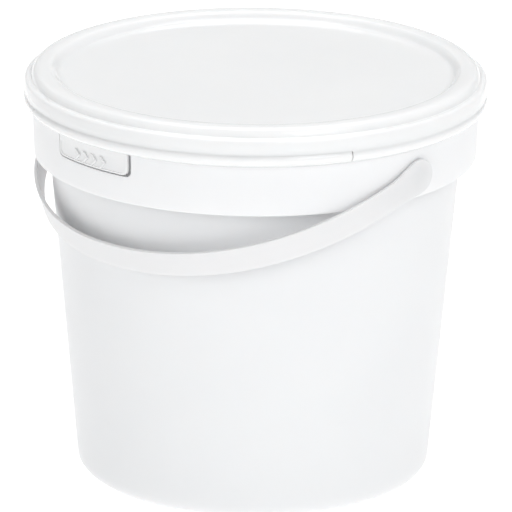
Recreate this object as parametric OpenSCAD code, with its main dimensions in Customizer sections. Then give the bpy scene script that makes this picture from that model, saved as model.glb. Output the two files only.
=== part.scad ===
// Round ten-litre plastic pail with a push-on lid, a tear strip with a pull
// tab, and a one-piece strap handle. Millimetres, +Z up, the origin on the
// floor under the middle of the base. The handle turns about X. The bucket,
// the lid and the handle are one moulding each, and each is split into nodes
// that meet face to face.

/* [Bucket] */
// Outer diameter of the wall, carried down to the floor
base_d = 217.6; // [217:0.2:218]
// Growth of the wall's radius for each millimetre of height
wall_taper = 0.0795; // [0.0785:0.0005:0.0800]
// Thickness of the wall
wall_t = 1.8; // [1.4:0.1:2.0]
// Thickness of the base panel
base_t = 2.2; // [1.6:0.1:3.0]
// Height that the base panel stands above the floor, inside the foot ring
foot_h = 1.6; // [1.0:0.1:3.0]
// Height of the rim
rim_z = 247.4; // [247.0:0.1:247.6]

/* [Collar] */
// Outer radius of the collar at its upper edge
collar_r = 134.8; // [134.2:0.1:135.0]
// Outer radius of the collar at its lower edge
collar_low_r = 134.1; // [133.5:0.1:134.3]
// Height of the top face of the collar
collar_z = 227.8; // [227.4:0.1:227.9]
// Height of the lower edge of the collar
collar_low_z = 197.5; // [194:0.5:200]
// Thickness of the collar
collar_t = 1.8; // [1.5:0.1:1.9]
// Number of rib places round the collar
rib_n = 24; // [24:24:24]
// Thickness of a rib
rib_t = 1.4; // [1.0:0.1:2.0]

/* [Lid] */
// Largest radius of the lid
lid_r = 140; // [139:0.1:140]
// Height of the lid's crest above the floor
lid_z = 250.3; // [250.3:0.1:251]
// Height of the lid's lower edge
skirt_z = 228.2; // [228.1:0.1:228.3]
// Height of the top of the sunken panel at its rim
panel_z = 245.4; // [245.0:0.1:245.8]
// Rise of the sunken panel at its middle
panel_crown = 0.7; // [0:0.1:1.2]
// Thickness of the lid
lid_t = 1.8; // [1.5:0.1:1.9]
// Distance that the lid lifts to come clear of the bucket
lid_travel = 60; // [50:5:120]

/* [Tear strip] */
// Where the strip starts, in degrees from the front, positive to the right
strip_from = -25; // [-40:1:-20]
// Where the strip ends
strip_to = 69; // [40:1:72]
// Height of the strip's upper edge
strip_z = 235.2; // [234.8:0.1:235.3]
// Width of the slit along the strip's upper edge
strip_slit = 0.3; // [0.2:0.1:0.4]

/* [Pull tab] */
// Width of the tab
tab_w = 59; // [50:1:59]
// Distance of the tab's middle to the left of the front
tab_shift = 1; // [0:0.5:1]
// Height of the tab's lower edge
tab_low_z = 214.5; // [214:0.5:216]
// Radius of the tab's lower corners
tab_corner = 4; // [2:0.5:6]
// Thickness of the tab
tab_t = 1.7; // [1.4:0.1:1.8]
// Number of raised chevrons on the tab
chevron_n = 4; // [3:1:4]

/* [Handle] */
// Height of the handle's pivots
pivot_z = 211; // [210:0.5:212]
// Inner radius of the strap, measured from the middle of the pivot axis
strap_in_r = 143.5; // [143.5:0.1:146]
// Thickness of the strap
strap_t = 2.2; // [1.8:0.1:2.6]
// Width of the strap
strap_w = 16; // [12:0.5:18]
// Angle of the hanging strap below the horizontal
droop = 21.5; // [18:0.5:30]
// Radius of the round end of the strap
end_r = 10.5; // [9.5:0.5:12]
// Diameter of the pivot pins
pin_d = 9.7; // [9.62:0.02:9.78]
// Diameter of the bores that hold the pins
bore_d = 9.8; // [9.8:0.02:9.8]

/* [Hidden] */
$fn = 96;
cut = 0.01;            // overlap of cutting shapes
gap = 0.3;             // clearance between neighbouring pieces

base_round = 2;        // outer radius at the foot of the wall
foot_w = 9;            // width of the foot ring
floor_z = foot_h + base_t;
snap_r = 132.6;        // the ring that the lid snaps over
snap_z = 240.4;
snap_t = 2.0;
snap_low_z = snap_z - snap_t;
rim_t = 2.6;
collar_round = 2.2;
ledge_low_z = collar_z - collar_t;
rib_low_z = collar_low_z + 5;
rib_sink = 1;          // how far a rib runs into the wall, before it is cut at its face
window_w = 62;         // opening in the collar that holds the tab
window_low_z = tab_low_z - 1;
window_in_r = collar_r - collar_t - 0.7;
boss_r = 8.5;
boss_in_x = 129.5;
head_r = 6.3;
head_in_x = 127.4;
head_t = 1.8;
plate_in_x = collar_r + 0.1;
plate_t = 2.4;
plate_out_x = plate_in_x + plate_t;
strap_r = strap_in_r + strap_t / 2;
neck_from = 6;         // the strap leaves its end plate here ...
neck_to = 22;          // ... and is on its circle from here on
neck_steps = 8;
strap_steps = 60;
tab_r = collar_r - 0.2;
tab_top_z = skirt_z - gap;
panel_r = 117.4;
crest_in_r = 122.7;
seal_r = 123.2;        // the ring that stands inside the bucket's rim
seal_z = 247.4;
seal_low_z = 240.4;
chevron_w = 5.2;
chevron_h = 6.6;
chevron_line = 1.9;
chevron_step = 7.3;
chevron_low_z = tab_low_z + 1.2;
chevron_rise = 0.6;
arc_steps = 5;

function wall_r(z) = base_d / 2 + wall_taper * z;

function arc(x, z, r, from, to) =
    [for (i = [0:arc_steps]) let (a = from + (to - from) * i / arc_steps) [x + r * cos(a), z + r * sin(a)]];

// A wedge of everything between two angles, measured from the front
module sector(from, to) {
    reach = 200;
    height = 300;
    rotate([0, 0, from - 90])
        rotate_extrude(angle = to - from)
            square([reach, height]);
}

// --- bucket ---------------------------------------------------------------

module base() {
    foot_r = wall_r(0) - base_round;
    color("whitesmoke")
        rotate_extrude()
            polygon(concat(
                [[0, foot_h], [foot_r - foot_w, foot_h], [foot_r - foot_w + foot_h, 0], [foot_r, 0]],
                arc(foot_r + 0.2, base_round, base_round, -90, -5),
                [[wall_r(floor_z), floor_z], [0, floor_z]]));
}

module wall() {
    fillet = 4;
    fillet_z = floor_z + fillet;
    color("whitesmoke")
        rotate_extrude()
            polygon(concat(
                [[wall_r(floor_z), floor_z], [wall_r(snap_low_z), snap_low_z]],
                [[wall_r(snap_low_z) - wall_t, snap_low_z], [wall_r(fillet_z) - wall_t, fillet_z]],
                arc(wall_r(floor_z) - wall_t - fillet + 0.3, fillet_z, fillet, 0, -90)));
}

module rim() {
    rim_in_r = wall_r(rim_z) - wall_t;
    rim_out_r = rim_in_r + rim_t;
    color("whitesmoke")
        rotate_extrude()
            polygon([
                [wall_r(snap_low_z) - wall_t, snap_low_z], [snap_r - 1, snap_low_z],
                [snap_r, snap_z - 1.4], [snap_r - 0.8, snap_z],
                [wall_r(snap_z), snap_z], [rim_out_r, snap_z + 2], [rim_out_r, rim_z - 0.8],
                [rim_out_r - 0.8, rim_z], [rim_in_r + 0.6, rim_z], [rim_in_r, rim_z - 0.6]]);
}

module collar_ring() {
    rotate_extrude()
        polygon(concat(
            [[collar_r - collar_t, collar_z], [collar_r - collar_t, ledge_low_z]],
            [[collar_low_r - collar_t, collar_low_z]],
            arc(collar_low_r - collar_round, collar_low_z + collar_round, collar_round, -60, 0),
            arc(collar_r - 1.2, collar_z - 1.2, 1.2, 0, 90)));
}

module collar_ledge() {
    color("whitesmoke")
        difference() {
            rotate_extrude()
                polygon([
                    [wall_r(ledge_low_z), ledge_low_z], [collar_r - collar_t, ledge_low_z],
                    [collar_r - collar_t, collar_z], [wall_r(collar_z), collar_z]]);
            tab_window();
        }
}

module rib() {
    rotate([90, 0, 0])
        translate([0, 0, -rib_t / 2])
            linear_extrude(height = rib_t)
                polygon([
                    [wall_r(rib_low_z) - rib_sink, rib_low_z], [collar_low_r - collar_t / 2, rib_low_z],
                    [collar_r - collar_t / 2, ledge_low_z], [wall_r(ledge_low_z) - rib_sink, ledge_low_z]]);
}

module wall_core() {
    rotate_extrude()
        polygon([
            [0, collar_low_z], [wall_r(collar_low_z), collar_low_z],
            [wall_r(snap_low_z), snap_low_z], [0, snap_low_z]]);
}

module collar_ribs() {
    pitch = 360 / rib_n;
    color("whitesmoke")
        difference() {
            for (i = [0:rib_n - 1])
                let (a = pitch * (i + 0.5))
                    if (abs(a - 270) > pitch)
                        rotate([0, 0, a]) rib();
            wall_core();
            collar_ring();
        }
}

module boss(side) {
    length = collar_low_r - 0.8 - boss_in_x;
    translate([side > 0 ? boss_in_x : -boss_in_x - length, 0, pivot_z])
        rotate([0, 90, 0])
            cylinder(h = length, r = boss_r);
}

module pivot_bores() {
    length = 2 * (collar_r + 5);
    inner = 2 * (boss_in_x - 0.5);
    difference() {
        translate([-length / 2, 0, pivot_z])
            rotate([0, 90, 0])
                cylinder(h = length, d = bore_d);
        translate([-inner / 2, -bore_d, pivot_z - bore_d])
            cube([inner, 2 * bore_d, 2 * bore_d]);
    }
}

// The tab's outline, seen from the front, made larger by `grow` on every side
module tab_outline(left, right, low, top, corner) {
    translate([left + corner, low])
        square([right - left - 2 * corner, top - low]);
    translate([left, low + corner])
        square([right - left, top - low - corner]);
    for (x = [left + corner, right - corner])
        translate([x, low + corner])
            circle(r = corner, $fn = 32);
}

module front_prism() {
    depth = 30;
    translate([0, -120, 0])
        rotate([90, 0, 0])
            linear_extrude(height = depth)
                children();
}

module tab_window() {
    difference() {
        front_prism()
            tab_outline(-window_w / 2, window_w / 2, window_low_z, collar_z + 1, tab_corner);
        cylinder(h = rim_z, r = window_in_r);
    }
}

module collar() {
    color("whitesmoke")
        difference() {
            union() {
                collar_ring();
                boss(1);
                boss(-1);
            }
            pivot_bores();
            tab_window();
        }
}

// --- lid and tear strip ----------------------------------------------------

// Outer edge of the skirt, from the lower edge up to the crest's foot
skirt_outer = [
    [lid_r - 4.0, skirt_z],
    [lid_r - 2.8, skirt_z + 0.3],
    [lid_r - 1.4, skirt_z + 1.2],
    [lid_r - 0.4, 230.8],
    [lid_r, 232.2],
    [lid_r - 0.1, 233.3],
    [lid_r - 0.4, 234.1],
    [lid_r - 0.9, 234.9],
    [lid_r - 1.0, 236.0],
    [lid_r - 0.5, 238.4],
    [lid_r - 0.4, 240.5],
    [lid_r - 0.6, 242.7],
    [lid_r - 1.1, 243.9],
    [lid_r - 1.9, 244.7],
    [lid_r - 3.8, 245.0],
    [lid_r - 4.6, 245.6],
];

// Inner edge of the skirt, from the crest's foot down to the lower edge
skirt_inner = [
    [133.4, 244.6],
    [134.4, 243.5],
    [136.6, 243.1],
    [137.7, 242.0],
    [137.8, 239.0],
    [137.4, 236.0],
    [137.6, 232.6],
    [137.0, 231.2],
    [133.0, skirt_z],
];

// Upper face of the crest, from the skirt in to the sunken panel
crest_top = [
    [lid_r - 4.6, 245.6],
    [lid_r - 5.6, 247.8],
    [lid_r - 7.0, 249.4],
    [lid_r - 9.0, 250.1],
    [lid_r - 12, lid_z],
    [lid_r - 15.5, 250.0],
    [crest_in_r, 249.3],
    [panel_r + 2.0, 246.1],
    [panel_r, panel_z],
];

// Lower face of the crest, from the panel out to the skirt
crest_under = [
    [panel_r - 1, panel_z - lid_t],
    [panel_r + 2.8, 244.5],
    [seal_r, seal_z],
    [seal_r + 2, seal_z],
    [125.6, lid_z - lid_t],
    [130.8, lid_z - lid_t - 0.1],
    [132.2, 247.4],
    [133.4, 244.6],
];

module lid_panel() {
    color("white")
        rotate_extrude()
            polygon([
                [0, panel_z + panel_crown - lid_t], [panel_r - 1, panel_z - lid_t],
                [panel_r, panel_z], [0, panel_z + panel_crown]]);
}

module lid_crest() {
    color("white")
        rotate_extrude()
            polygon(concat(crest_top, crest_under));
}

module lid_seal_ring() {
    color("white")
        rotate_extrude()
            polygon([
                [seal_r, seal_z], [seal_r + 0.2, seal_low_z],
                [seal_r + 1.6, seal_low_z], [seal_r + 2, seal_z]]);
}

module skirt_ring() {
    rotate_extrude()
        polygon(concat(skirt_outer, skirt_inner));
}

module lid_skirt() {
    end_gap = 0.3;
    color("white")
        difference() {
            skirt_ring();
            intersection() {
                sector(strip_from - end_gap, strip_to + end_gap);
                cylinder(h = strip_z + strip_slit, r = lid_r + 1);
            }
        }
}

module tear_strip() {
    color("white")
        intersection() {
            skirt_ring();
            cylinder(h = strip_z, r = lid_r + 1);
            sector(strip_from, strip_to);
        }
}

// --- pull tab --------------------------------------------------------------

module tab_shell(inner, outer) {
    difference() {
        cylinder(h = tab_top_z, r = outer);
        translate([0, 0, -cut])
            cylinder(h = tab_top_z + 2 * cut, r = inner);
    }
}

module chevron() {
    polygon([
        [0, 0], [chevron_line, 0], [chevron_w, chevron_h / 2],
        [chevron_line, chevron_h], [0, chevron_h], [chevron_w - chevron_line, chevron_h / 2]]);
}

module pull_tab() {
    middle = -tab_shift;
    color("white") {
        intersection() {
            tab_shell(tab_r - tab_t, tab_r);
            front_prism()
                tab_outline(middle - tab_w / 2, middle + tab_w / 2, tab_low_z, tab_top_z, tab_corner);
        }
        intersection() {
            tab_shell(tab_r - cut, tab_r + chevron_rise);
            front_prism()
                for (i = [0:chevron_n - 1])
                    translate([middle - chevron_w / 2 + chevron_step * (i - (chevron_n - 1) / 2), chevron_low_z])
                        chevron();
        }
    }
}

// --- handle ----------------------------------------------------------------

// Distance of the strap's middle from the X = 0 plane, `d` in front of the pivots
function strap_x(d) =
    let (
        start = plate_in_x + strap_t / 2,
        on_circle = sqrt(strap_r * strap_r - d * d),
        s = min(1, max(0, (d - neck_from) / (neck_to - neck_from))))
    start + (on_circle - start) * s * s * (3 - 2 * s);

neck = [for (i = [0:neck_steps]) let (d = neck_to * i / neck_steps) [strap_x(d), -d]];
circle_from = asin(neck_to / strap_r);
bow = [for (i = [1:strap_steps - 1])
    let (a = circle_from + (180 - 2 * circle_from) * i / strap_steps) [strap_r * cos(a), -strap_r * sin(a)]];
mirrored_neck = [for (i = [neck_steps:-1:0]) [-neck[i][0], neck[i][1]]];
strap_path = concat(neck, bow, mirrored_neck);

// The path moved sideways by `off`, outwards when positive
function beside(path, off) = [for (i = [0:len(path) - 1])
    let (
        before = path[max(0, i - 1)],
        after = path[min(len(path) - 1, i + 1)],
        along = (after - before) / norm(after - before))
    path[i] + off * [-along[1], along[0]]];

module whole_strap() {
    inner = beside(strap_path, strap_t / 2);
    outer = beside(strap_path, -strap_t / 2);
    last = len(strap_path) - 1;
    translate([0, 0, -strap_w / 2])
        linear_extrude(height = strap_w)
            polygon(concat(outer, [for (i = [last:-1:0]) inner[i]]));
}

// Everything within the round end of the strap, out to `reach`
module end_core(reach) {
    translate([head_in_x, 0, 0])
        rotate([0, 90, 0])
            cylinder(h = reach, r = end_r);
}

module hung() {
    translate([0, 0, pivot_z])
        rotate([droop, 0, 0])
            children();
}

module strap() {
    color("whitesmoke")
        hung()
            difference() {
                whole_strap();
                end_core(strap_r);
                mirror([1, 0, 0]) end_core(strap_r);
            }
}

module handle_end() {
    intersection() {
        whole_strap();
        end_core(strap_r);
    }
    translate([plate_in_x, 0, 0])
        rotate([0, 90, 0])
            cylinder(h = plate_t, r = end_r);
    translate([head_in_x, 0, 0])
        rotate([0, 90, 0])
            cylinder(h = plate_in_x - head_in_x + cut, d = pin_d);
    translate([head_in_x, 0, 0])
        rotate([0, 90, 0])
            cylinder(h = head_t, r = head_r);
}

module handle_end_right() {
    color("whitesmoke")
        hung()
            handle_end();
}

module handle_end_left() {
    color("whitesmoke")
        hung()
            mirror([1, 0, 0]) handle_end();
}

base();
wall();
rim();
collar();
collar_ledge();
collar_ribs();
lid_panel();
lid_crest();
lid_seal_ring();
lid_skirt();
tear_strip();
pull_tab();
strap();
handle_end_right();
handle_end_left();
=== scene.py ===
import bpy
import bmesh
from math import acos, atan2, cos, pi, radians, sin, sqrt, tan
from mathutils import Matrix, Vector


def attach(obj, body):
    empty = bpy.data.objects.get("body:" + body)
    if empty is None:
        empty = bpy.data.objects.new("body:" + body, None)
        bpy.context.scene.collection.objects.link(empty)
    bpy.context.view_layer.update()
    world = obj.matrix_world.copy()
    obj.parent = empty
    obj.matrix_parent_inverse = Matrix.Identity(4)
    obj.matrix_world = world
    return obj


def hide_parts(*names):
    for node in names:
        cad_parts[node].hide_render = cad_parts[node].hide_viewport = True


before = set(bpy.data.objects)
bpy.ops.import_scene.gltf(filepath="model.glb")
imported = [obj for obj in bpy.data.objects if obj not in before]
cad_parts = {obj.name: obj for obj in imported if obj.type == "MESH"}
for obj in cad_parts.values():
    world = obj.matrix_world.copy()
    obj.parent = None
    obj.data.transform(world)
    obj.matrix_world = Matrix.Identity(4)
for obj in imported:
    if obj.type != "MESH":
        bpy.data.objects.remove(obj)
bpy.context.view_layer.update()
scene = bpy.context.scene

# ---------------------------------------------------------------- sizes, mm and degrees
MM = 1000            # mm in a metre

# bucket
BASE_R = 108.8       # outer radius of the wall, carried down to z = 0
TAPER = 0.0795       # growth of that radius with height
WALL_T = 1.8
FOOT_H = 1.6
FLOOR_Z = 3.8
SNAP_Z = 240.4       # top of the snap ring
SNAP_R = 132.6
RIM_Z = 247.4
RIM_T = 2.6
SINK = 0.3           # how deep the collar and the ribs are set into the wall

# collar, with the tab's window and the pins' bores
COLLAR_R = 134.8
COLLAR_LOW_R = 134.1
COLLAR_Z = 227.8
COLLAR_TOP_Z = COLLAR_Z + 0.2
COLLAR_LOW_Z = 197.5
COLLAR_T = 1.8
SHELF_Z = 226.0      # underside of the collar's top
WINDOW_X = 31.0
WINDOW_LOW_Z = 213.5
WINDOW_HIGH_Z = 234.0
WINDOW_CORNER = 4.2
WINDOW_DEPTH_R = 132.3   # nothing is cut nearer to the axis than this
BORE_R = 4.95
# section of the ring round a bore, as points (x, radius)
BOSS = [(129.5, BORE_R), (129.5, 8.1), (129.9, 8.5), (133.2, 8.9), (133.2, BORE_R)]

# ribs inside the collar
RIB_PLACES = 24      # evenly spaced, and none in the two beside the front
RIB_T = 1.4
RIB_LOW_Z = COLLAR_LOW_Z + 5
RIB_HIGH_Z = 226.4

# lid, tear strip and slit between them
SKIRT_Z = 228.2
PANEL_Z = 246.0      # top of the panel at its middle
STRIP_Z = 235.2
STRIP_FROM = -25.0
STRIP_TO = 69.0
SLIT = 0.02          # above the strip
SLIT_END = 0.25      # beyond each end of the strip, in degrees

# pull tab and its four chevrons
TAB_R = 134.6
TAB_T = 1.7
TAB_X0 = -30.5
TAB_X1 = 28.5
TAB_Z0 = 214.5
TAB_Z1 = 227.9
TAB_CORNER = 4.0
FIELD_R = TAB_R - 0.5
FIELD_HIGH_Z = 223.4
MARKS = 4
MARK_STEP = 7.3
MARK_W = 5.2
MARK_H = 6.6
MARK_LINE = 1.9
MARK_Z = TAB_Z0 + 1.2
MARK_ROOT_R = FIELD_R - 0.3
MARK_TOP_R = TAB_R + 0.5

# handle
PIVOT_Z = 211.0
DROOP = 21.5         # how far below level it hangs, in degrees
STRAP_A = 136.2      # half width of the bow, across the pail
STRAP_B = 136.5      # reach of the bow, to the front
STRAP_N = 2.15       # roundness of the right half, 2 being an ellipse
STRAP_N_LEFT = 2.0
STRAP_T = 2.2
STRAP_W = 16.0
STRAP_EDGE = 0.5
END_R = 10.4         # radius of the round end
NECK = 20.0          # stretch over which the round end narrows to the strap
PIN_R = 4.85
PIN_HEAD_R = 6.3
PIN_HEAD_T = 1.8
PIN_IN = 127.4
PIN_OUT = 136.0

# fineness of the meshes
TURNS = 384          # sides of a full turn about the pail's axis
BORE_SIDES = 48
PIN_SIDES = 96
STRAP_STEPS = 240
ARC_STEPS = 5        # for each radian of a rounded corner
SIDE_SHARE = 0.48    # the most of a side that one rounded corner takes
SHARP = 38           # edges sharper than this stay sharp in the shading
TAB_SHARP = 50
ON_AXIS = 1e-6


def wall_r(z):
    return BASE_R + TAPER * z


def around(r, a, z):
    """A point at angle a from the front, positive to the right."""
    return (r * sin(radians(a)), -r * cos(radians(a)), z)


# ---------------------------------------------------------------- profiles
def rounded(points, hold=0.35):
    """The path with each corner (r, z, radius) made an arc, with a point `hold` outside it where one fits."""
    out = []
    for i, p in enumerate(points):
        here = Vector(p[:2])
        radius = p[2] if len(p) > 2 else 0
        if i in (0, len(points) - 1) or radius <= 0:
            out.append(here)
            continue
        a = Vector(points[i - 1][:2]) - here
        b = Vector(points[i + 1][:2]) - here
        la, lb = a.length, b.length
        a.normalize()
        b.normalize()
        half = acos(max(-1, min(1, a.dot(b)))) / 2
        nearly_straight = half > pi / 2 - 0.01
        if nearly_straight:
            out.append(here)
            continue
        reach = min(radius / tan(half), la * SIDE_SHARE, lb * SIDE_SHARE)
        radius = reach * tan(half)
        centre = here + (a + b).normalized() * (radius / sin(half))
        s = here + a * reach - centre
        e = here + b * reach - centre
        turn = atan2(s.x * e.y - s.y * e.x, s.dot(e))
        count = max(3, int(ARC_STEPS * abs(turn)) + 2)
        if la > 4 * hold + reach:
            out.append(here + a * (reach + hold))
        for k in range(count + 1):
            t = turn * k / count
            out.append(centre + Vector((s.x * cos(t) - s.y * sin(t), s.x * sin(t) + s.y * cos(t))))
        if lb > 4 * hold + reach:
            out.append(here + b * (reach + hold))
    return out


def mix(one, two, k_one, k_two, t):
    """The point at t on the line that has `one` at k_one and `two` at k_two."""
    return one * ((k_two - t) / (k_two - k_one)) + two * ((t - k_one) / (k_two - k_one))


def spline(points, steps=6):
    """A smooth path through the points (centripetal Catmull-Rom)."""
    p = [Vector(q) for q in points]
    p = [p[0] * 2 - p[1]] + p + [p[-1] * 2 - p[-2]]
    out = []
    for i in range(1, len(p) - 2):
        q = p[i - 1:i + 3]
        k = [0.0]
        for one, two in zip(q, q[1:]):
            k.append(k[-1] + max(1e-6, (two - one).length) ** 0.5)
        for s in range(steps):
            t = k[1] + (k[2] - k[1]) * s / steps
            a = [mix(q[j], q[j + 1], k[j], k[j + 1], t) for j in range(3)]
            b = [mix(a[j], a[j + 1], k[j], k[j + 2], t) for j in range(2)]
            out.append(mix(b[0], b[1], k[1], k[2], t))
    out.append(p[-2])
    return out


# ---------------------------------------------------------------- meshes
def smooth(mesh, sharp=SHARP):
    mesh.shade_smooth()
    mesh.set_sharp_from_angle(angle=radians(sharp))


def make(name, verts, faces, sharp=SHARP):
    """An object from points in mm, with its faces turned outward."""
    mesh = bpy.data.meshes.new(name)
    mesh.from_pydata([[c / MM for c in v] for v in verts], [], faces)
    mesh.validate()
    bm = bmesh.new()
    bm.from_mesh(mesh)
    bmesh.ops.recalc_face_normals(bm, faces=bm.faces)
    bm.to_mesh(mesh)
    bm.free()
    smooth(mesh, sharp)
    obj = bpy.data.objects.new(name, mesh)
    scene.collection.objects.link(obj)
    return obj


def band(one, two):
    """The faces between two closed rows of point numbers, without those that shrink to a line."""
    n = len(one)
    faces = []
    for k in range(n):
        face = list(dict.fromkeys([one[k], one[(k + 1) % n], two[(k + 1) % n], two[k]]))
        if len(face) > 2:
            faces.append(face)
    return faces


def between(name, one, two):
    """The closed solid between two loops with the same number of points."""
    n = len(one)
    ends = [list(range(n)), list(range(2 * n - 1, n - 1, -1))]
    return make(name, one + two, ends + band(range(n), range(n, 2 * n)))


def prism(name, outline, y0, y1):
    """The solid whose outline, seen from the front, runs from y0 to y1."""
    return between(name, [(x, y0, z) for x, z in outline], [(x, y1, z) for x, z in outline])


def lathe(name, path, start=None, stop=None):
    """The closed section `path` turned about Z, all the way or from start to stop with closed ends."""
    path = [Vector(p) for p in path]
    whole = start is None
    if whole:
        angles = [360 * i / TURNS for i in range(TURNS)]
    else:
        count = max(2, int(TURNS * (stop - start) / 360))
        angles = [start + (stop - start) * i / count for i in range(count + 1)]
    verts, faces, rings = [], [], []
    for a in angles:
        ring = []
        for p in path:
            if p.x < ON_AXIS and rings:
                ring.append(rings[0][len(ring)])
            else:
                ring.append(len(verts))
                verts.append(around(p.x, a, p.y))
        rings.append(ring)
    for one, two in zip(rings, rings[1:]):
        faces += band(one, two)
    if whole:
        faces += band(rings[-1], rings[0])
    else:
        faces += [rings[0], rings[-1][::-1]]
    return make(name, verts, faces)


def pivot_circle(x, r):
    """Points round the pins' axis, at x along it."""
    turns = [2 * pi * k / BORE_SIDES for k in range(BORE_SIDES)]
    return [(x, r * cos(t), PIVOT_Z + r * sin(t)) for t in turns]


def apply_all(obj):
    """Replace the mesh by what its modifiers make of it."""
    dg = bpy.context.evaluated_depsgraph_get()
    mesh = bpy.data.meshes.new_from_object(obj.evaluated_get(dg))
    obj.modifiers.clear()
    obj.data = mesh


def cut_with(obj, *tools):
    for tool in tools:
        m = obj.modifiers.new("cut", "BOOLEAN")
        m.operation = "DIFFERENCE"
        m.solver = "EXACT"
        m.object = tool
    apply_all(obj)
    for tool in tools:
        bpy.data.objects.remove(tool)
    smooth(obj.data)


def soften(obj, width, segments, angle):
    """Round the edges that are sharper than the angle."""
    mod = obj.modifiers.new("soft", "BEVEL")
    mod.width = width / MM
    mod.segments = segments
    mod.limit_method = "ANGLE"
    mod.angle_limit = radians(angle)
    apply_all(obj)


def join(name, objs):
    bm = bmesh.new()
    for o in objs:
        bm.from_mesh(o.data)
    mesh = bpy.data.meshes.new(name)
    bm.to_mesh(mesh)
    bm.free()
    for o in objs:
        bpy.data.objects.remove(o)
    obj = bpy.data.objects.new(name, mesh)
    scene.collection.objects.link(obj)
    return obj


# ---------------------------------------------------------------- materials
def noise(tree, coords, scale, detail):
    node = tree.nodes.new("ShaderNodeTexNoise")
    node.inputs["Scale"].default_value = scale
    node.inputs["Detail"].default_value = detail
    tree.links.new(coords.outputs["Object"], node.inputs["Vector"])
    return node


def plastic(name, low, high, rough, spread, bump):
    """White moulded polypropylene: a faint flow mottle in colour and gloss, and a fine skin."""
    m = bpy.data.materials.new(name)
    m.use_nodes = True
    nt = m.node_tree
    b = nt.nodes["Principled BSDF"]
    coords = nt.nodes.new("ShaderNodeTexCoord")

    flow = noise(nt, coords, scale=9, detail=3)
    flow.inputs["Roughness"].default_value = 0.45
    ramp = nt.nodes.new("ShaderNodeValToRGB")
    for stop, position, colour in zip(ramp.color_ramp.elements, (0.3, 0.7), (low, high)):
        stop.position = position
        stop.color = (*colour, 1)
    nt.links.new(flow.outputs["Fac"], ramp.inputs["Fac"])
    nt.links.new(ramp.outputs["Color"], b.inputs["Base Color"])

    haze = noise(nt, coords, scale=42, detail=4)
    to_rough = nt.nodes.new("ShaderNodeMapRange")
    to_rough.inputs["To Min"].default_value = rough - spread
    to_rough.inputs["To Max"].default_value = rough + spread
    nt.links.new(haze.outputs["Fac"], to_rough.inputs["Value"])
    nt.links.new(to_rough.outputs["Result"], b.inputs["Roughness"])

    skin = noise(nt, coords, scale=260, detail=2)
    relief = nt.nodes.new("ShaderNodeBump")
    relief.inputs["Strength"].default_value = bump
    relief.inputs["Distance"].default_value = 0.0004
    nt.links.new(skin.outputs["Fac"], relief.inputs["Height"])
    nt.links.new(relief.outputs["Normal"], b.inputs["Normal"])

    b.inputs["IOR"].default_value = 1.49
    b.inputs["Subsurface Weight"].default_value = 0.4
    b.inputs["Subsurface Radius"].default_value = (1.0, 0.9, 0.85)
    b.inputs["Subsurface Scale"].default_value = 0.005
    return m


BUCKET_MAT = plastic(
    "bucket_pp", (0.85, 0.852, 0.862), (0.885, 0.887, 0.893), rough=0.34, spread=0.05, bump=0.10)
LID_MAT = plastic(
    "lid_pp", (0.86, 0.862, 0.866), (0.89, 0.89, 0.89), rough=0.10, spread=0.03, bump=0.04)
# The strap takes a darker copy of the same white plastic: painted shade that tones down how brightly the thin
# strap renders.
STRAP_MAT = plastic(
    "strap_pp", (0.74, 0.742, 0.75), (0.77, 0.772, 0.778), rough=0.36, spread=0.04, bump=0.08)


def finish_piece(obj, mat, body, slot, *nodes):
    obj.data.materials.clear()
    obj.data.materials.append(mat)
    if nodes:
        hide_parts(*nodes)
    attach(obj, body)
    return obj


# ---------------------------------------------------------------- bucket
def bucket_body():
    """Base with its foot ring, wall, snap ring and rim, as one turned section."""
    foot_r = wall_r(0) - 2
    rim_in = wall_r(RIM_Z) - WALL_T
    rim_out = rim_in + RIM_T
    snap_low_z = SNAP_Z - 2
    foot = [
        (0, FOOT_H), (foot_r - 9, FOOT_H, 0.5), (foot_r - 7.4, 0, 0.7), (foot_r + 0.3, 0, 1.2),
        (wall_r(0) - 0.1, 2.2, 1.9)]
    wall = [(wall_r(225), 225), (wall_r(snap_low_z), snap_low_z, 0.4)]
    snap = [
        (SNAP_R - 1.0, snap_low_z, 0.6), (SNAP_R, SNAP_Z - 1.2, 0.5), (SNAP_R - 0.8, SNAP_Z, 0.5),
        (wall_r(SNAP_Z) + 0.6, SNAP_Z + 0.3, 0.5)]
    rim = [(rim_out, SNAP_Z + 2.4, 0.8), (rim_out, RIM_Z, 0.9), (rim_in, RIM_Z, 0.6)]
    inside = [(wall_r(FLOOR_Z + 4) - WALL_T, FLOOR_Z, 4.0), (0, FLOOR_Z)]
    return lathe("bucket_body", rounded(foot + wall + snap + rim + inside))


def window_outline():
    """The window seen from the front: round corners below, and nearly square ones above."""
    square = 0.01
    corners = [
        (-WINDOW_X, WINDOW_LOW_Z, WINDOW_CORNER), (WINDOW_X, WINDOW_LOW_Z, WINDOW_CORNER),
        (WINDOW_X, WINDOW_HIGH_Z, square), (-WINDOW_X, WINDOW_HIGH_Z, square)]
    points = []
    for (x, z, r), start in zip(corners, (180, 270, 0, 90)):
        mid_x = x + (r if x < 0 else -r)
        mid_z = z + (r if z == WINDOW_LOW_Z else -r)
        for k in range(9):
            t = radians(start + 90 * k / 8)
            points.append((mid_x + r * cos(t), mid_z + r * sin(t)))
    return points


def boss(side):
    """The ring of plastic round a bore, inside the collar."""
    rings = [pivot_circle(side * x, r) for x, r in BOSS]
    rows = [range(i * BORE_SIDES, (i + 1) * BORE_SIDES) for i in range(len(rings))]
    faces = []
    for one, two in zip(rows, rows[1:] + rows[:1]):
        faces += band(one, two)
    return make("boss", [v for ring in rings for v in ring], faces)


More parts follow.
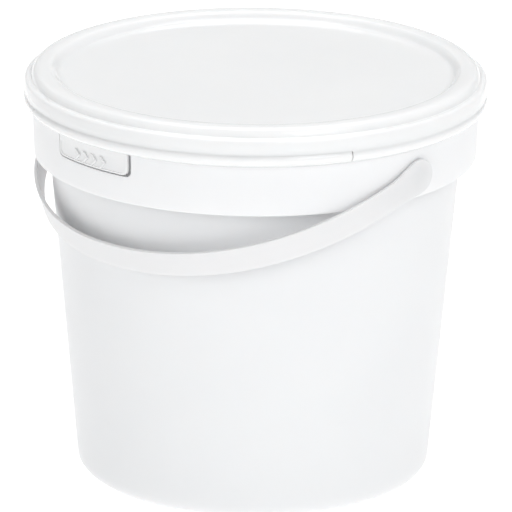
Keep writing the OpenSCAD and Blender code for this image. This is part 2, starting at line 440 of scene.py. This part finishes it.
def bucket_collar():
    """The hollow collar, with the tab's window, and a bore with its boss on each side."""
    path = rounded([
        (wall_r(SHELF_Z) - SINK, SHELF_Z), (COLLAR_R - COLLAR_T - 0.1, SHELF_Z, 1.2),
        (COLLAR_LOW_R - COLLAR_T, COLLAR_LOW_Z, 0.5), (COLLAR_LOW_R, COLLAR_LOW_Z, 1.1),
        (COLLAR_R, COLLAR_TOP_Z, 0.8), (wall_r(COLLAR_Z) - SINK, COLLAR_TOP_Z)])
    collar = lathe("bucket_collar", path)
    inner, outer, low_z, high_z = 124, 140, 190, 235
    window = prism("window", window_outline(), -outer, -inner)
    keep = lathe("keep", [(0, low_z), (WINDOW_DEPTH_R, low_z), (WINDOW_DEPTH_R, high_z), (0, high_z)])
    cut_with(window, keep)
    bores = []
    for side in (1, -1):
        start = pivot_circle(side * 130.5, BORE_R)
        bores.append(between("bore", start, pivot_circle(side * outer, BORE_R)))
    cut_with(collar, window, *bores)
    return join("bucket_collar", [collar, boss(1), boss(-1)])


def rib(angle):
    section = [
        (wall_r(RIB_LOW_Z) - SINK, RIB_LOW_Z), (COLLAR_LOW_R - 1.5, RIB_LOW_Z),
        (COLLAR_R - 1.5, RIB_HIGH_Z), (wall_r(RIB_HIGH_Z) - SINK, RIB_HIGH_Z)]
    across = Vector(around(1, angle + 90, 0)) * (RIB_T / 2)
    middle = [Vector(around(r, angle, z)) for r, z in section]
    return between("rib", [tuple(p - across) for p in middle], [tuple(p + across) for p in middle])


def bucket_ribs():
    step = 360 / RIB_PLACES
    angles = [step * (i + 0.5) for i in range(RIB_PLACES)]
    return join("bucket_ribs", [rib(a) for a in angles if min(a, 360 - a) >= step])


finish_piece(bucket_body(), BUCKET_MAT, "bucket", "bucket_plastic", "base", "wall", "rim")
finish_piece(bucket_collar(), BUCKET_MAT, "bucket", "bucket_plastic", "collar", "collar_ledge")
finish_piece(bucket_ribs(), BUCKET_MAT, "bucket", "bucket_plastic", "collar_ribs")

# ---------------------------------------------------------------- lid
# the skirt's lip, the bead above it and the shoulder
SKIRT_OUTSIDE = spline([
    (136.0, SKIRT_Z), (137.3, 228.55), (138.6, 229.4), (139.6, 230.8), (140, 232.2), (139.95, 233.2),
    (139.6, 234.1), (139.15, 234.8), (139.0, 235.4), (139.1, 236.4), (139.5, 238.4), (139.6, 240.5),
    (139.4, 242.7), (139.0, 243.9), (138.2, 244.6), (137.0, 244.95), (136.1, 245.0)])
# over the crest and down to the sunken panel
CREST = spline([
    (135.5, 245.35), (135.1, 246.4), (134.3, 248.0), (133.0, 249.4), (131, 250.1), (128, 250.3),
    (124.8, 250.05), (123.2, 249.65), (122.2, 248.9), (119.8, 246.4), (118.7, 245.7), (117.3, 245.45),
    (115.5, 245.42)])
# panel, seal ring, hollow of the crest, and the skirt's inside
UNDERSIDE = rounded([
    (0, 244.2), (116.4, 243.6, 2.0), (120.2, 244.6, 1.0), (123.2, 247.4, 0.6), (123.4, 240.4, 0.5),
    (124.8, 240.4, 0.5), (125.4, 248.5, 0.6), (130.8, 248.4, 1.2), (132.2, 247.4, 1.0), (133.4, 244.4, 1.0),
    (134.4, 243.5, 0.8), (136.6, 243.1, 0.8), (137.7, 242.0, 1.0), (137.9, 238.0, 1.5), (137.7, 232.6, 1.0),
    (137.0, 231.2, 1.0), (133.0, 228.4, 0.3), (133.2, SKIRT_Z, 0.2), (136.0, SKIRT_Z, 0.1)])[:-1]


def lid_shell():
    """Panel, crest, seal ring and skirt, without the stretch that is the tear strip."""
    lid = lathe("lid_shell", UNDERSIDE + SKIRT_OUTSIDE + CREST + [Vector((0, PANEL_Z))])
    inner, outer, low_z = 128, 145, 224
    high_z = STRIP_Z + SLIT
    section = [(inner, low_z), (outer, low_z), (outer, high_z), (inner, high_z)]
    cut_with(lid, lathe("slot", section, STRIP_FROM - SLIT_END, STRIP_TO + SLIT_END))
    return lid


def tear_strip():
    """The skirt's section below the slit, with the same inside and outside."""
    skirt_from, below = 132, STRIP_Z - 0.05
    inside = [p for p in UNDERSIDE if p.x > skirt_from and p.y < below]
    outside = [p for p in SKIRT_OUTSIDE if p.y < below]
    path = inside + outside + [Vector((139.0, STRIP_Z)), Vector((137.7, STRIP_Z))]
    return lathe("lid_tear_strip", path, STRIP_FROM, STRIP_TO)


finish_piece(
    lid_shell(), LID_MAT, "lid", "lid_plastic", "lid_panel", "lid_crest", "lid_seal_ring", "lid_skirt")
finish_piece(tear_strip(), LID_MAT, "tear_strip", "lid_plastic", "tear_strip")


# ---------------------------------------------------------------- pull tab
def curved(name, x0, x1, z0, z1, corner, r_out, r_in, edge):
    """A plate bent round the axis, from a fine grid, with round lower corners and softened edges."""
    def low(x):
        d = min(x - x0, x1 - x)
        return z0 + (corner - sqrt(max(0, corner ** 2 - (corner - d) ** 2)) if d < corner else 0)

    cols, rows, corner_cols = 48, 14, 12
    xs = [x0 + (x1 - x0) * k / cols for k in range(cols + 1)]
    for k in range(1, corner_cols):
        t = corner * (1 - cos(pi / 2 * k / corner_cols))
        xs += [x0 + t, x1 - t]
    xs = sorted(set(round(x, 5) for x in xs))
    verts, faces = [], []
    for r in (r_out, r_in):
        for x in xs:
            bottom = low(x)
            for j in range(rows + 1):
                verts.append((x, -sqrt(r * r - x * x), bottom + (z1 - bottom) * j / rows))
    n = rows + 1
    back = len(xs) * n
    for i in range(len(xs) - 1):
        for j in range(rows):
            a, b = i * n + j, (i + 1) * n + j
            faces.append([a, b, b + 1, a + 1])
            faces.append([a + back, a + back + 1, b + back + 1, b + back])
        a, b = i * n, (i + 1) * n
        faces.append([a, a + back, b + back, b])
        a, b = a + rows, b + rows
        faces.append([a, b, b + back, a + back])
    for i in (0, len(xs) - 1):
        for j in range(rows):
            a = i * n + j
            faces.append([a, a + 1, a + 1 + back, a + back])
    obj = make(name, verts, faces, TAB_SHARP)
    soften(obj, width=edge, segments=3, angle=TAB_SHARP)
    smooth(obj.data, TAB_SHARP)
    return obj


def chevron(i):
    """One raised chevron, bent round with the tab's face."""
    left = (TAB_X0 + TAB_X1) / 2 - MARK_W / 2 + MARK_STEP * (i - (MARKS - 1) / 2)
    corners = [
        (0, 0), (MARK_LINE, 0), (MARK_W, MARK_H / 2), (MARK_LINE, MARK_H), (0, MARK_H),
        (MARK_W - MARK_LINE, MARK_H / 2)]
    edge = []
    for (x0, z0), (x1, z1) in zip(corners, corners[1:] + corners[:1]):
        edge += [(left + (x0 + (x1 - x0) * s / 4), MARK_Z + (z0 + (z1 - z0) * s / 4)) for s in range(4)]
    sides = []
    for r in (MARK_ROOT_R, MARK_TOP_R):
        sides.append([(x, -sqrt(r * r - x ** 2), z) for x, z in edge])
    mark = between("mark", *sides)
    soften(mark, width=0.25, segments=2, angle=40)
    return mark


def pull_tab():
    """The plate, with a sunken field behind the chevrons."""
    plate = curved("plate", TAB_X0, TAB_X1, TAB_Z0, TAB_Z1, TAB_CORNER, TAB_R, TAB_R - TAB_T, 0.3)
    field = curved(
        "field", TAB_X0 + 0.9, TAB_X1 - 1.8, TAB_Z0 + 0.8, FIELD_HIGH_Z, 3.4, TAB_R + 2, FIELD_R, 0.2)
    cut_with(plate, field)
    tab = join("lid_pull_tab", [plate] + [chevron(i) for i in range(MARKS)])
    smooth(tab.data, TAB_SHARP)
    return tab


finish_piece(pull_tab(), LID_MAT, "pull_tab", "lid_plastic", "pull_tab")


# ---------------------------------------------------------------- handle
def strap_line():
    """Centre line and half width: a flat round end past the pivot on each side, and the bow between them."""
    end = []
    for i in range(1, 20):
        y = END_R * cos(pi / 2 * i / 20)
        end.append((Vector((STRAP_A, y)), sqrt(END_R ** 2 - y * y)))
    bow = []
    for i in range(STRAP_STEPS + 1):
        t = pi * i / STRAP_STEPS
        n = STRAP_N if t < pi / 2 else STRAP_N_LEFT
        r = (abs(cos(t) / STRAP_A) ** n + abs(sin(t) / STRAP_B) ** n) ** (-1 / n)
        p = Vector((r * cos(t), -r * sin(t)))
        s = max(0, 1 + min(0, p.y) / NECK)
        bow.append((p, STRAP_W / 2 + (END_R - STRAP_W / 2) * s * s * (3 - 2 * s)))
    return end + bow + [(Vector((-p.x, p.y)), w) for p, w in reversed(end)]


def strap():
    """The strap's section swept along its line."""
    line = strap_line()
    h = STRAP_T / 2
    e = STRAP_EDGE
    verts, faces, rows = [], [], []
    for i, (p, w) in enumerate(line):
        before = line[max(0, i - 1)][0]
        after = line[min(len(line) - 1, i + 1)][0]
        along = (after - before).normalized()
        out = Vector((-along.y, along.x))
        if out.dot(p) < 0:
            out = -out
        section = rounded([(0, -h), (w, -h, e), (w, h, e), (-w, h, e), (-w, -h, e), (0, -h)], hold=0.05)
        row = []
        for side, o in section[:-1]:
            row.append(len(verts))
            q = p + out * o
            verts.append((q.x, q.y, side))
        rows.append(row)
    for one, two in zip(rows, rows[1:]):
        faces += band(one, two)
    faces += [rows[0], rows[-1][::-1]]
    return make("strap", verts, faces)


def pin(side):
    """The pin that turns in the collar's bore, with its head inside the collar."""
    neck = PIN_IN + PIN_HEAD_T
    path = rounded([
        (0, PIN_IN), (PIN_HEAD_R, PIN_IN, 0.5), (PIN_HEAD_R, neck, 0.4), (PIN_R, neck), (PIN_R, PIN_OUT),
        (0, PIN_OUT)])
    verts, faces, rings = [], [], []
    for k in range(PIN_SIDES):
        a = 2 * pi * k / PIN_SIDES
        ring = []
        for r, x in path:
            if r < ON_AXIS and rings:
                ring.append(rings[0][len(ring)])
            else:
                ring.append(len(verts))
                verts.append((side * x, r * cos(a), r * sin(a)))
        rings.append(ring)
    for one, two in zip(rings, rings[1:] + rings[:1]):
        faces += band(one, two)
    return make("pin", verts, faces)


def handle_strap():
    """Strap and pins, made level about the pivot and then hung in place."""
    handle = join("handle_strap", [strap(), pin(1), pin(-1)])
    handle.data.transform(Matrix.Translation((0, 0, PIVOT_Z / MM)) @ Matrix.Rotation(radians(DROOP), 4, "X"))
    smooth(handle.data)
    return handle


finish_piece(
    handle_strap(), STRAP_MAT, "handle", "handle_plastic", "strap", "handle_end_right", "handle_end_left")

# ---------------------------------------------------------------- view, in metres and degrees
CAM_AZ = 45.5        # to the right of the front
CAM_EL = 18.8
CAM_D = 2.368
CAM_ROLL = 0.5
LENS = 271.603125    # mm, on a 36 mm sensor
SENSOR = 36
AIM_Z = 0.1256
AIM_RIGHT = 0.0010
AIM_UP = 0.00242


def direction(azimuth, elevation):
    a, e = radians(azimuth), radians(elevation)
    return Vector((cos(e) * sin(a), -cos(e) * cos(a), sin(e)))


# ---------------------------------------------------------------- floor
def paper():
    """Grey, but lit mostly by its own glow, so that it comes out white and takes only a faint shadow."""
    m = bpy.data.materials.new("ground_paper")
    m.use_nodes = True
    b = m.node_tree.nodes["Principled BSDF"]
    b.inputs["Roughness"].default_value = 0.9
    b.inputs["Base Color"].default_value = (0.25, 0.25, 0.25, 1)
    b.inputs["Emission Color"].default_value = (1, 1, 1, 1)
    b.inputs["Emission Strength"].default_value = 0.92
    return m


def floor(half=6.0, gap=0.0003):
    """A square sheet just under the foot ring."""
    mesh = bpy.data.meshes.new("ground")
    corners = [(-half, -half, 0), (half, -half, 0), (half, half, 0), (-half, half, 0)]
    mesh.from_pydata(corners, [], [[0, 1, 2, 3]])
    mesh.materials.append(paper())
    obj = bpy.data.objects.new("ground", mesh)
    obj.location.z = -gap
    scene.collection.objects.link(obj)
    return obj


ground = floor()


# ---------------------------------------------------------------- light
def studio():
    """A white surround, a little brighter on the right of the main view than on its left."""
    world = bpy.data.worlds.new("studio")
    world.use_nodes = True
    nt = world.node_tree
    background = nt.nodes["Background"]
    background.inputs["Color"].default_value = (1, 1, 1, 1)
    coords = nt.nodes.new("ShaderNodeTexCoord")
    rightness = nt.nodes.new("ShaderNodeVectorMath")
    rightness.operation = "DOT_PRODUCT"
    rightness.inputs[1].default_value = (cos(radians(CAM_AZ)), sin(radians(CAM_AZ)), 0)
    strength = nt.nodes.new("ShaderNodeMapRange")
    strength.inputs["From Min"].default_value = -1
    strength.inputs["From Max"].default_value = 1
    strength.inputs["To Min"].default_value = 0.49
    strength.inputs["To Max"].default_value = 0.54
    nt.links.new(coords.outputs["Generated"], rightness.inputs[0])
    nt.links.new(rightness.outputs["Value"], strength.inputs["Value"])
    nt.links.new(strength.outputs["Result"], background.inputs["Strength"])
    return world


def softbox(name, azimuth, elevation, distance, width, height, watts):
    """A rectangular lamp that faces a point on the pail's axis, four fifths of the way up."""
    light = bpy.data.lights.new(name, "AREA")
    light.shape = "RECTANGLE"
    light.size = width
    light.size_y = height
    light.energy = watts
    obj = bpy.data.objects.new(name, light)
    centre = Vector((0, 0, 0.2))
    obj.location = centre + direction(azimuth, elevation) * distance
    obj.rotation_euler = (centre - obj.location).to_track_quat("-Z", "Y").to_euler()
    scene.collection.objects.link(obj)


# name, degrees to the right of the camera, elevation, distance, width, height, watts
LAMPS = [
    ("softbox_right", 31, 38, 2.2, 0.8, 0.8, 7),
    ("fill_right", 25, 21, 2.6, 2.2, 1.4, 10),
    ("fill_left", -38, 21, 2.6, 2.2, 1.4, 7),
    ("overhead", 180, 75, 2.4, 2.0, 1.4, 34)]

scene.world = studio()
for name, to_right, *rest in LAMPS:
    softbox(name, CAM_AZ + to_right, *rest)


# ---------------------------------------------------------------- camera
def main_camera():
    data = bpy.data.cameras.new("camera")
    data.lens = LENS
    data.sensor_width = SENSOR
    data.clip_start = 0.1
    data.clip_end = 50
    cam = bpy.data.objects.new("camera", data)
    back = direction(CAM_AZ, CAM_EL)
    right = Vector((cos(radians(CAM_AZ)), sin(radians(CAM_AZ)), 0))
    up = back.cross(right)
    aim = right * AIM_RIGHT + up * AIM_UP
    cam.location = Vector((0, 0, AIM_Z)) + back * CAM_D + aim
    turn = Matrix((right, up, back)).transposed() @ Matrix.Rotation(radians(CAM_ROLL), 3, "Z")
    cam.rotation_euler = turn.to_euler()
    scene.collection.objects.link(cam)
    return cam


scene.camera = main_camera()
scene.view_settings.view_transform = "Standard"
scene.view_settings.look = "None"
